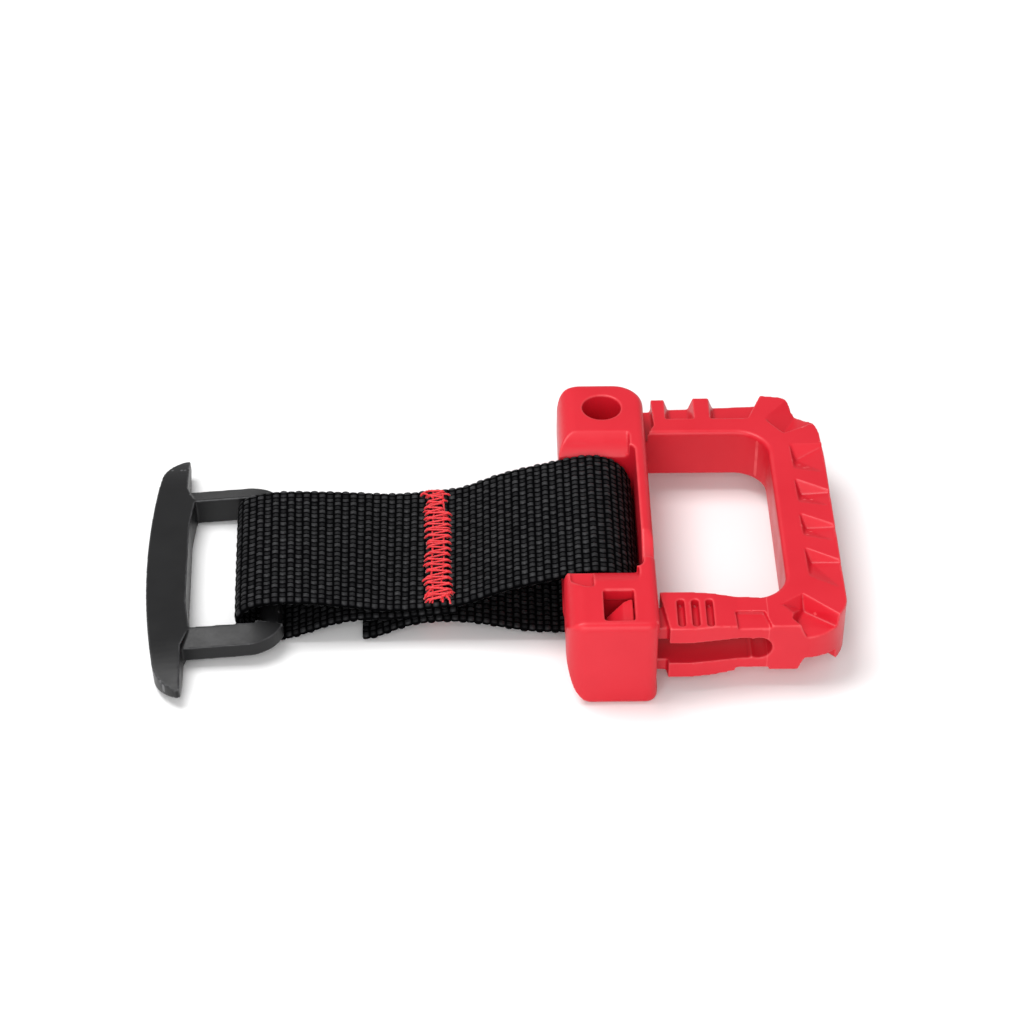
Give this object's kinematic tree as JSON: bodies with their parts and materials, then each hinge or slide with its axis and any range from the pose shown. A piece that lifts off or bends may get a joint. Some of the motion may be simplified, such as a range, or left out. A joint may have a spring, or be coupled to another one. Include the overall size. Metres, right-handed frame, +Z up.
{
  "type": "webbing strap with toggle bar and release handle",
  "caption": "Short looped webbing strap with a toggle bar at one end and a moulded yoke with a swinging, snap-latched D handle at the other.",
  "frame": {"origin": "middle of the resting footprint, on the table", "axes": "+Z up, +X from the toggle bar towards the release handle, +Y across the strap"},
  "size_m": [0.1452, 0.0808, 0.0215],
  "materials": {
    "red_plastic": "satin moulded nylon",
    "pin_plastic": "satin moulded nylon",
    "black_plastic": "fine satin grain",
    "black_webbing": "ribbed polyester weave with a low sheen",
    "red_thread": "twisted polyester sewing thread"
  },
  "bodies": {
    "yoke": {"strap_yoke": "red_plastic", "pivot_pin": "pin_plastic"},
    "handle": {"release_handle": "red_plastic"},
    "upper_prong": {"upper_latch_prong": "red_plastic"},
    "lower_prong": {"lower_latch_prong": "red_plastic"},
    "strap": {"webbing_strap": "black_webbing", "bartack_thread": "red_thread"},
    "toggle": {"toggle_bar": "black_plastic"}
  },
  "joints": [
    {"name": "handle_swing", "type": "hinge", "parent": "yoke", "child": "handle", "pos_m": [0.0249, 0.03055, 0.01075], "axis": [0, 0, 1], "range_deg": [0, 90]},
    {"name": "latch_squeeze", "type": "hinge", "parent": "handle", "child": "upper_prong", "pos_m": [0.0529, -0.03085, 0.01512], "axis": [0, -1, 0], "range_deg": [0, 4], "stiffness_Nm_per_rad": 0.1},
    {"name": "lower_latch_squeeze", "type": "hinge", "parent": "handle", "child": "lower_prong", "pos_m": [0.0529, -0.03085, 0.00638], "axis": [0, 1, 0], "range_deg": [0, 4], "stiffness_Nm_per_rad": 0.1},
    {"name": "strap_swing", "type": "hinge", "parent": "yoke", "child": "strap", "pos_m": [0.0221, -0.002, 0.01075], "axis": [0, 1, 0], "range_deg": [-80, 80], "stiffness_Nm_per_rad": 0.05},
    {"name": "toggle_swing", "type": "hinge", "parent": "strap", "child": "toggle", "pos_m": [-0.046, -0.0023, 0.0046], "axis": [-0.0436, 0.999, 0], "range_deg": [-120, 120]}
  ],
  "couplings": [
    {"joint": "lower_latch_squeeze", "follows": "latch_squeeze", "ratio": 1}
  ]
}
